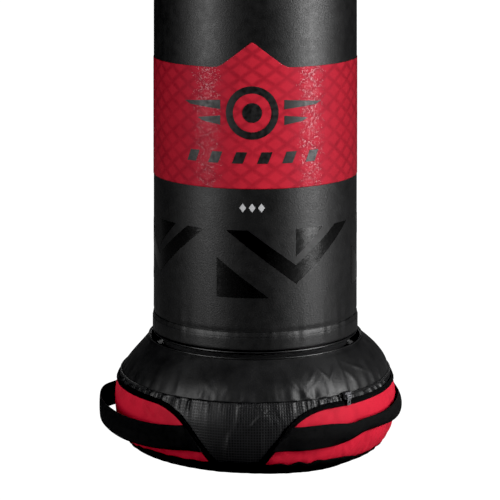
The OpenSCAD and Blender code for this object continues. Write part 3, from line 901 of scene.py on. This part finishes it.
def build_rear_zip():
    """Teeth between two stitched tapes, down the column's back."""
    rear = math.pi + TURN
    height = np.arange(ZIP_Z0 + 6 * MM, ZIP_Z1 - 5 * MM, TOOTH_PITCH)
    out = np.broadcast_to(polar(rear, 1.0, 0.0), (len(height), 3))
    up = np.broadcast_to([0.0, 0.0, 1.0], (len(height), 3))
    places = polar(rear, COLUMN_R + 1.5 * MM, height)
    zip_teeth("rear_zip", "column", places, out, up, (5.6 * MM, 1.6 * MM, 2.0 * MM))
    path_z = np.linspace(ZIP_Z0, ZIP_Z1, 160)
    rows = []
    for side, word, replaced in ((-1, "right", ()), (1, "left", ("rear_zip_tape",))):
        tape = polar(rear + side * 8.5 * MM / COLUMN_R, COLUMN_R + 0.55 * MM, path_z)
        outward = unit(tape * [1, 1, 0])
        mesh = sweep("rear_zip_tape_" + word, tape, outward, strip_profile(5.5 * MM, 0.9 * MM))
        new_piece(mesh, TAPE, "column", replaced)
        rows.append((polar(rear + side * 9.5 * MM / COLUMN_R, COLUMN_R + 1.1 * MM, path_z), outward, False))
    sew("rear_zip_stitches", "column", rows, 4.5 * MM, 3.6 * MM, 0.35 * MM)


# ---- Base ----

# The collar is drawn in a little over the hollow that the column's foot leans into.
COLLAR_TOP_R = COLLAR_R + 1.4 * MM
SLOPE_LENGTH = math.hypot(SHOULDER_TOP_Z - SEAM_Z, SEAM_R - COLLAR_TOP_R)


def shoulder_point(angle, part):
    """A point on the sloping shoulder: part is 0 at the collar and 1 at the seam."""
    radius = COLLAR_TOP_R + part * (SEAM_R + 0.6 * MM - COLLAR_TOP_R)
    height = SHOULDER_TOP_Z + part * (SEAM_Z + 0.9 * MM - SHOULDER_TOP_Z)
    slope = np.array([SHOULDER_TOP_Z - SEAM_Z, SEAM_R - COLLAR_TOP_R])
    out_r, out_z = slope / np.hypot(*slope)
    bow = np.sin(math.pi * np.clip(part, 0, 1)) ** 0.8
    low_bow = np.sin(math.pi * np.clip(part, 0, 1) ** 1.8)
    puff = 4.0 * MM * low_bow * (1 - 0.9 * near(angle, -85, 50)) + 2.0 * MM * near(angle, 0, 60) * bow
    puff += 4.5 * MM * near(angle, 98, 50) * bow * fade(part, 0.0, 0.15)
    low = 2.5 * MM * near(angle, -80, 45) * bow * (part - 0.4)
    dents = 1.3 * MM * ripple(angle, part, 61, 4, 11, slide=5) * bow
    down = (1 - part) * SLOPE_LENGTH
    crumpled = 1.8 * MM * creases(angle, down, 67, 11, 6 * MM, 46 * MM, span=0.5, middle=0.75, narrow=0.8)
    crumpled += 1.4 * MM * creases(angle, down, 68, 6, 6 * MM, 40 * MM, span=0.25, middle=-0.30)
    crumpled *= fade(down, 0, 8 * MM)
    drawn = ripple(angle, part, 62, 26, 58, slide=2) * np.exp(-(1 - part) / 0.24)
    fine = ripple(angle, part, 63, 80, 140, slide=2, terms=9) * np.exp(-(1 - part) / 0.10)
    uneven = 0.45 + 0.55 * fade(ripple(angle, part, 66, 3, 9), -0.8, 0.9)
    strong = 1 + 0.4 * near(angle, 35, 28)
    gathered = (1.7 * MM * drawn * uneven + 0.8 * MM * fine) * strong * fade(part, 1.0, 0.95)
    collar = 0.4 * MM * ripple(angle, part, 64, 30, 60) * np.exp(-part / 0.12) * fade(part, 0.0, 0.06)
    lift = puff + low + dents + crumpled + gathered + collar
    return polar(angle, radius + lift * out_r, height + lift * out_z)


def build_shoulder():
    angle = around(420)[None]
    slope = shoulder_point(angle, np.linspace(0.0, 1.0, 44)[:, None])
    rolled = polar(angle, SEAM_R - np.array([[0.2], [1.6]]) * MM, SEAM_Z + np.array([[0.0], [0.3]]) * MM)
    wall_z = np.linspace(DECK_Z, SHOULDER_TOP_Z - 0.4 * MM, 7)[::-1, None]
    drawn_in = 2.2 * MM * fade(wall_z, SHOULDER_TOP_Z - 16 * MM, SHOULDER_TOP_Z - 2 * MM)
    wall = polar(angle, COLLAR_R + 0.3 * MM - drawn_in + 0.4 * MM * ripple(angle, wall_z, 65, 8, 20), wall_z)
    deck = polar(angle, np.linspace(COLLAR_R - 3 * MM, DECK_HOLE_R, 6)[:, None], DECK_Z - 0.2 * MM)
    outer = np.concatenate([rolled[::-1], slope[::-1], wall, deck])
    mesh = shell("shoulder_vinyl", outer, 1.6 * MM, True)
    new_piece(mesh, SHOULDER_VINYL, "base", ("shoulder_cover",))
    line = shoulder_point(around(360), 0.015) + [0, 0, 1.2 * MM]
    profile = np.stack([np.cos(around(14)), np.sin(around(14))], axis=-1) * 1.9 * MM
    mesh = sweep("collar_piping", line, unit(line * [1, 1, 0]), profile, closed=True)
    new_piece(mesh, PIPING, "base", ("collar_welt",))


GATHER = 1.2


def build_gathered_band():
    """Ruffled cloth from the shoulder seam to the side panels, dipping under the front and rear panels."""
    angle = around(900)[None]
    height = np.linspace(PANEL_Z1 - 1 * MM, SEAM_Z + 0.4 * MM, 16)[:, None]
    proud = 0.6 * MM * fade(SEAM_Z - height, 0.2 * MM, 6 * MM)
    dip = 2.6 * MM * fade(from_panel(angle), PANEL_HEAD + 1.5, PANEL_HEAD - 1.5)
    outer = soft_skirt(angle, height, gathers(angle, height) * GATHER, proud - dip)
    mesh = shell("gathered_cloth", outer, CLOTH_T, True, flat_place(angle, height))
    new_piece(mesh, RIPSTOP, "base", ("gathered_band",))


# Half the angle over which a front or rear panel meets the shoulder seam, in degrees.
PANEL_HEAD = math.degrees(math.asin(ARC_X / BASE_R)) + 1


def panel_grid(lowest, columns, front):
    """Angles and heights of a grid over the front or rear panel, out to its edges and up to the seam."""
    height, half_width = edge_points(lowest)
    half_angle = np.arcsin(half_width / outline(height))
    top = np.linspace(height[-1], SEAM_Z + 0.3 * MM, 14)[1:]
    height = np.concatenate([height, top])
    half_angle = np.concatenate([half_angle, np.full(len(top), math.radians(PANEL_HEAD))])
    across = np.linspace(-1, 1, columns)[None]
    angle = across * half_angle[:, None] + (0 if front else math.pi)
    return angle, np.broadcast_to(height[:, None], angle.shape)


def build_panels():
    for word, front in (("front", True), ("rear", False)):
        angle, height = panel_grid(PANEL_FOOT_Z, 301, front)
        folds = gathers(angle, height) * GATHER
        middle = 0 if front else math.pi
        low, high = 20 * MM, 110 * MM
        folds += 2.0 * MM * creases(angle, height, 71 + front, 10, low, high, span=0.45, middle=middle)
        folds -= 2.0 * MM * creases(angle, height, 75 + front, 8, low, high, span=0.40, middle=middle)
        outer = soft_skirt(angle, height, tucked(folds, angle, height))
        mesh = shell(word + "_ripstop", outer, CLOTH_T, False, flat_place(angle, height))
        new_piece(mesh, RIPSTOP, "base", (word + "_panel",))


def foot_lip(angle):
    """Height of the black foot's upper edge, highest under the front and rear panels."""
    drop = np.where(np.sin(angle) > 0, 18, 13) * fade(from_panel(angle), 38, 68)
    return (24 - drop) * MM + 2.0 * MM * ripple(angle, angle * 0, 101, 20, 52, terms=9)


def tucked(folds, angle, height):
    """Folds in a panel, flattened and drawn in where it has passed under the foot's edge."""
    under = fade(foot_lip(angle) - height, -2 * MM, 3 * MM)
    return folds * (1 - under) - 2 * MM * under


def side_folds(angle, height):
    """Wrinkles in the red side panels."""
    broad = 2.6 * MM * creases(angle, height, 81, 46, 20 * MM, 116 * MM)
    sharp = 2.2 * MM * creases(angle, height, 85, 64, 14 * MM, 66 * MM, narrow=0.6)
    full = 1.5 * MM * np.sin(math.pi * np.clip((height - PANEL_Z0) / (PANEL_Z1 - PANEL_Z0), 0, 1))
    near_foot = np.exp(-np.maximum(height - PANEL_Z0, 0) / (14 * MM))
    puckers = 2.0 * MM * ripple(angle, height, 82, 36, 80, slide=20, terms=9) * near_foot
    near_head = np.exp(-(PANEL_Z1 - height) / (12 * MM))
    head = 1.1 * MM * ripple(angle, height, 83, 50, 110, slide=20, terms=9) * near_head
    folds = full - broad + sharp + np.clip(puckers, -2 * MM, 2 * MM) + head
    return tucked(folds, angle, height)


def build_side_panels():
    for side, word in SIDES:
        height, half_width = edge_points(PANEL_FOOT_Z)
        start = np.arcsin(half_width / outline(height))[:, None]
        across = np.linspace(0, 1, 421)[None]
        angle = start + across * (math.pi - 2 * start)
        if side < 0:
            angle = -angle[:, ::-1]
        height = np.broadcast_to(height[:, None], angle.shape)
        outer = soft_skirt(angle, height, side_folds(angle, height))
        mesh = shell("red_panel_" + word, outer, CLOTH_T, False, flat_place(angle, height))
        new_piece(mesh, RED_CLOTH, "base", ("side_panel_" + word,))


def binding_path(side):
    """The line of the tape round a side panel: up one panel's edge, over, and down the other's."""
    mid = BINDING_W / 2
    bend = np.linspace(PANEL_LEAN, math.pi / 2, 22)
    low_z = np.linspace(PANEL_Z0 - 5 * MM, BEND_Z, 24, endpoint=False)
    low_x = PANEL_FOOT_W - mid + (low_z - PANEL_Z0) * math.tan(PANEL_LEAN)
    x = np.concatenate([low_x, ARC_X - (PANEL_CURVE_R + mid) * np.cos(bend)])
    z = np.concatenate([low_z, ARC_Z + (PANEL_CURVE_R + mid) * np.sin(bend)])
    angle = np.arcsin(x / outline(z))
    along = np.linspace(angle[-1], math.pi - angle[-1], 90)[1:-1]
    angle = np.concatenate([angle, along, math.pi - angle[::-1]])
    height = np.concatenate([z, np.full(len(along), z[-1]), z[::-1]])
    return side * angle, height


def build_bindings():
    for side, word in SIDES:
        angle, height = binding_path(side)
        lift = 2.2 * MM + 0.4 * MM * ripple(angle, height, 91, 60, 130, slide=30)
        path = soft_skirt(angle, height, proud=lift)
        outward = unit(on_skirt(angle, height, 5 * MM) - on_skirt(angle, height))
        mesh = sweep("binding_tape_" + word, path, outward, strip_profile(5.2 * MM, 2.2 * MM))
        new_piece(mesh, TAPE, "base", ("binding_" + word,))
        along, across, out = path_frames(path, outward, False)
        rows = [(path + across * off * MM + out * 1.1 * MM, out, False) for off in (-3.2, 3.2)]
        sew(mesh.name + "_stitches", "base", rows, 4.6 * MM, 3.6 * MM, 0.38 * MM)


def build_underside():
    """The black foot: a flat bottom whose edge rises to a wavy line against the panels."""
    angle = around(720)[None]
    part = np.linspace(0, 1, 22)[:, None]
    height = FLOOR_GAP + (foot_lip(angle) - FLOOR_GAP) * part ** 1.5
    pucker = 0.7 * MM * ripple(angle, height, 102, 40, 90, slide=20) * part
    proud = 2.6 * MM * fade(part, 0, 0.4) - 1.6 * MM * fade(part, 0.75, 1.0)
    rim = soft_skirt(angle, height, proud=0.6 * MM + pucker + proud)
    flat = polar(angle, np.linspace(0.5 * MM, FOOT_R - 2 * MM, 12)[:, None], FLOOR_GAP)
    mesh = shell("foot_cover", np.concatenate([flat, rim]), 1.6 * MM, True)
    new_piece(mesh, UNDERSIDE, "base", ("bottom_cover",))


def strap_curve(side):
    """A handle's middle line, on the right side, from under the front binding to under the rear one.
    Gives its points at height 0, and how far each is along its sewn part: 0 at the end, 1 where it is free."""
    handle = "handle_" + dict(SIDES)[side]
    end_x = abs(joints[handle + "_swing"]["pos_m"][0])
    low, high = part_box(handle)
    reach = max(abs(low.x), abs(high.x)) - STRAP_T / 2
    end_y = abs(low.y)
    rise = reach - end_x
    bow_r = (end_y ** 2 + rise ** 2) / (2 * rise)
    middle = reach - bow_r
    half = math.atan2(end_y, end_x - middle)
    turn = np.linspace(-half, half, 141)
    free = np.stack([middle + bow_r * np.cos(turn), bow_r * np.sin(turn), np.zeros(len(turn))], axis=1)
    tuck = np.linspace(0, 1, 16, endpoint=False)
    start_angle = math.asin((PANEL_FOOT_W + (STRAP_Z - PANEL_Z0) * math.tan(PANEL_LEAN) - 3 * MM) / BASE_R)
    end_angle = math.atan2(end_x, end_y)
    stand_off = math.hypot(end_x, end_y) - BASE_R
    lift = 1.4 * MM + (stand_off - 1.4 * MM) * fade(tuck, 0.25, 1.1)
    sewn = polar(start_angle + tuck * (end_angle - start_angle), BASE_R + lift, 0.0)
    path = np.concatenate([sewn, free, (sewn * [1, -1, 1])[::-1]])
    return path, np.concatenate([tuck, np.ones(len(free)), tuck[::-1]])


# How each strap hangs, at angles in degrees round from the front: the height of its middle in mm, how far its
# edges curl in, how far its face tips down in degrees, and how far it stands out from a plain bow in mm.
STRAP_SHAPES = {
    1: ((0, 72, 0.0, 0, 0), (22, 72, 0.1, 0, 0), (36, 73, 0.2, 4, -1), (47, 68, 1.15, 18, -4),
        (54, 75, 1.3, 35, -7), (66, 73, 1.5, 32, -9), (77, 71, 1.1, 14, -8), (90, 72, 0.6, 0, -7),
        (104, 70, 0.4, -6, -6), (125, 70, 0.3, 0, -2), (150, 73, 0.1, 0, 0), (180, 72, 0.0, 0, 0)),
    -1: ((0, 70, 0.0, 0, 0), (22, 67, 0.1, 0, 0), (36, 63, 0.1, 2, 0), (50, 63, 0.1, 2, 0),
         (66, 66, 0.1, 2, -2), (80, 67, 0.1, 0, -2), (92, 65, 0.1, 0, -3), (104, 57, 0.1, 6, -5),
         (125, 54, 0.2, 6, -6), (150, 65, 0.1, 0, 0), (180, 71, 0.0, 0, 0)),
}


def strap_grid(side, half_width, thickness, drop=0.0, keep=None):
    """The points of a strap: one outline for each place along it. keep picks those places."""
    path, sewn = strap_curve(side)
    if keep is not None:
        path, sewn = path[keep], sewn[keep]
    turn = np.degrees(np.arctan2(path[:, 0], -path[:, 1]))
    shape = np.array(STRAP_SHAPES[side], float)
    height, curl, tip, out = (np.interp(turn, shape[:, 0], shape[:, i]) for i in (1, 2, 3, 4))
    # The strap's hang changes smoothly along it.
    window = np.hanning(13) / np.hanning(13).sum()
    for values in (height, curl, tip, out):
        values[:] = np.convolve(np.pad(values, len(window) // 2, mode="edge"), window, mode="valid")
    flat = strip_profile(1.0, thickness, points=21)
    across, rise = flat[:, 0][None], flat[:, 1][None]
    curl = np.maximum(curl, 0.02)[:, None]
    sine, cosine = np.sin(curl * across), np.cos(curl * across)
    up = half_width * sine / curl + rise * sine
    away = half_width * (cosine - np.cos(curl) / 2 - 0.5) / curl + rise * cosine - drop
    tip = np.radians(tip)[:, None]
    up, away = up * np.cos(tip) - away * np.sin(tip), away * np.cos(tip) + up * np.sin(tip)
    along, _, _ = path_frames(path, unit(path), False)
    outward = np.stack([along[:, 1], -along[:, 0], np.zeros(len(along))], axis=1)
    outward *= np.sign((outward * path).sum(axis=1))[:, None]
    # The ends are cut to the slant of the bindings that they go under.
    cut = up * math.tan(PANEL_LEAN) * (1 - sewn[:, None]) * np.sign(-path[:, 1:2])
    away = (away + out[:, None] * MM)[..., None]
    grid = path[:, None] + outward[:, None] * away + along[:, None] * cut[..., None]
    grid[..., 2] = height[:, None] * MM + up
    cloth = np.stack(np.broadcast_arrays(run_along(path)[:, None], across * half_width), axis=-1)
    return grid * [side, 1, 1], cloth


def build_handles():
    """The two straps, and a second layer of webbing behind each end."""
    bend_from, bend_to = 100 * MM, 165 * MM
    # How many of the strap's places, from each end, the backing covers.
    backed = 22
    for side, word in SIDES:
        stretch = 0.8 * MM if side > 0 else 1.6 * MM
        grid, cloth = strap_grid(side, STRAP_W / 2 + stretch, STRAP_T - 0.4 * MM)
        mesh = tube("strap_" + word, grid, cloth)
        piece = new_piece(mesh, WEBBING, None, ("handle_" + word,))
        start, end = (side * bend_from, 0, STRAP_Z), (side * bend_to, 0, STRAP_Z)
        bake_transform(piece)
    for side, word in SIDES:
        for end, keep in (("front", slice(0, backed)), ("rear", slice(-backed, None))):
            grid, cloth = strap_grid(side, STRAP_W / 2 - 1.5 * MM, 1.6 * MM, drop=2.4 * MM, keep=keep)
            mesh = tube("strap_backing_" + end + "_" + word, grid, cloth)
            replaced = ("handle_anchors",) if (side, end) == (1, "front") else ()
            new_piece(mesh, WEBBING, "base", replaced)


def build_base_zip():
    """Coil teeth in the shoulder seam, from the right front round the rear to the left front."""
    span = TAU - 2 * BASE_ZIP_START
    count = int(span * COIL_R / TOOTH_PITCH)
    angle = BASE_ZIP_START + np.arange(count) / (count - 1) * span
    places = polar(angle, COIL_R - 0.4 * MM, COIL_Z)
    out = polar(angle, 1.0, 0.0)
    along = polar(angle + math.pi / 2, 1.0, 0.0)
    zip_teeth("base_zip", "base", places, out, along, (3.6 * MM, 2.6 * MM, 2.0 * MM))


build_column_cover()
build_hem_band()
build_top()
build_red_band()
build_chevrons()
build_emblem()
build_rear_zip()
build_shoulder()
build_gathered_band()
build_panels()
build_side_panels()
build_bindings()
build_underside()
build_handles()
build_base_zip()


# ---- Floor, light and camera ----

VIEW_TURN = math.radians(7.3)
CAMERA_DISTANCE = 4.4
CAMERA_HEIGHT = 1.285
FLOOR_SHADE = 0.10
WORLD_DIM = 0.008
scene = bpy.context.scene
scene.view_settings.view_transform = "Standard"
scene.view_settings.use_curve_mapping = True
scene.view_settings.curve_mapping.black_level = (0.005, 0.005, 0.005)
scene.view_settings.curve_mapping.update()


def two_faced(tree, output, seen, unseen):
    """Joins two shaders: seen is what the camera looks at, unseen is what lights and reflects in the bag."""
    either = tree.nodes.new("ShaderNodeMixShader")
    path = tree.nodes.new("ShaderNodeLightPath")
    tree.links.new(path.outputs["Is Camera Ray"], either.inputs[0])
    tree.links.new(unseen, either.inputs[1])
    tree.links.new(seen, either.inputs[2])
    tree.links.new(either.outputs[0], tree.nodes[output].inputs[0])


def build_floor():
    """A floor that the camera sees as plain white paper, and the bag as dull and dark."""
    size = 12.0
    mesh = bpy.data.meshes.new("floor")
    corners = [(-size, -size, 0), (size, -size, 0), (size, size, 0), (-size, size, 0)]
    mesh.from_pydata(corners, [], [(0, 1, 2, 3)])
    floor = bpy.data.objects.new("floor", mesh)
    scene.collection.objects.link(floor)
    look = Look("pale_floor", Base_Color=(FLOOR_SHADE, FLOOR_SHADE, FLOOR_SHADE, 1), Roughness=0.9)
    white = look.add("Emission", Color=(1, 1, 1, 1), Strength=1.1)
    two_faced(look.tree, "Material Output", white, look.shader.outputs[0])
    mesh.materials.append(look.material)


def build_world():
    """White where the camera looks past the bag, and dark for everything that it lights or reflects in."""
    world = bpy.data.worlds.new("studio")
    scene.world = world
    world.use_nodes = True
    tree = world.node_tree
    dim = tree.nodes["Background"]
    dim.inputs[0].default_value = (0.9, 0.95, 1.0, 1)
    dim.inputs[1].default_value = WORLD_DIM
    white = tree.nodes.new("ShaderNodeBackground")
    white.inputs[0].default_value = (1, 1, 1, 1)
    white.inputs[1].default_value = 1.1
    two_faced(tree, "World Output", white.outputs[0], dim.outputs[0])


def softbox(name, turn, distance, height, width, tall, power, aim=0.45):
    """A tall soft light. turn is in degrees from the camera's side, towards the right."""
    data = bpy.data.lights.new(name, "AREA")
    data.shape = "RECTANGLE"
    data.size = width
    data.size_y = tall
    data.energy = power
    lamp = bpy.data.objects.new(name, data)
    scene.collection.objects.link(lamp)
    angle = VIEW_TURN + math.radians(turn)
    lamp.location = polar(angle, distance, height)
    pitch = math.atan2(height - aim, distance)
    lamp.rotation_euler = (math.pi / 2 - pitch, 0, angle)


def build_camera():
    data = bpy.data.cameras.new("camera")
    data.sensor_width = 36
    data.lens = 158.4
    data.shift_x = -0.0105
    camera = bpy.data.objects.new("camera", data)
    scene.collection.objects.link(camera)
    camera.location = polar(VIEW_TURN, CAMERA_DISTANCE, CAMERA_HEIGHT)
    camera.rotation_euler = (math.pi / 2, 0, VIEW_TURN)
    scene.camera = camera
    # The lens is shifted down, so that upright lines stay upright. A camera moved back to see the
    # whole bag from another side looks straight at it, and needs no shift.
    curve = data.driver_add("shift_y")
    curve.driver.type = "SCRIPTED"
    for axis in "XYZ":
        variable = curve.driver.variables.new()
        variable.name = axis.lower()
        variable.type = "TRANSFORMS"
        variable.targets[0].id = camera
        variable.targets[0].transform_type = "LOC_" + axis
    curve.driver.expression = "-0.914 if x * x + y * y + z * z < 30 else 0"


build_floor()
build_world()
softbox("right_softbox", 64, 2.8, 1.10, 0.95, 2.7, 142)
softbox("left_softbox", -54, 3.0, 1.2, 1.15, 2.4, 68)
softbox("rear_softbox", 180, 2.6, 2.9, 0.8, 1.6, 64, aim=0.8)
# The column keeps this small light off the base: it shows the shape of the column's top.
softbox("top_softbox", 0, 0.01, 2.9, 0.25, 0.25, 14, aim=TOP_Z)
build_camera()
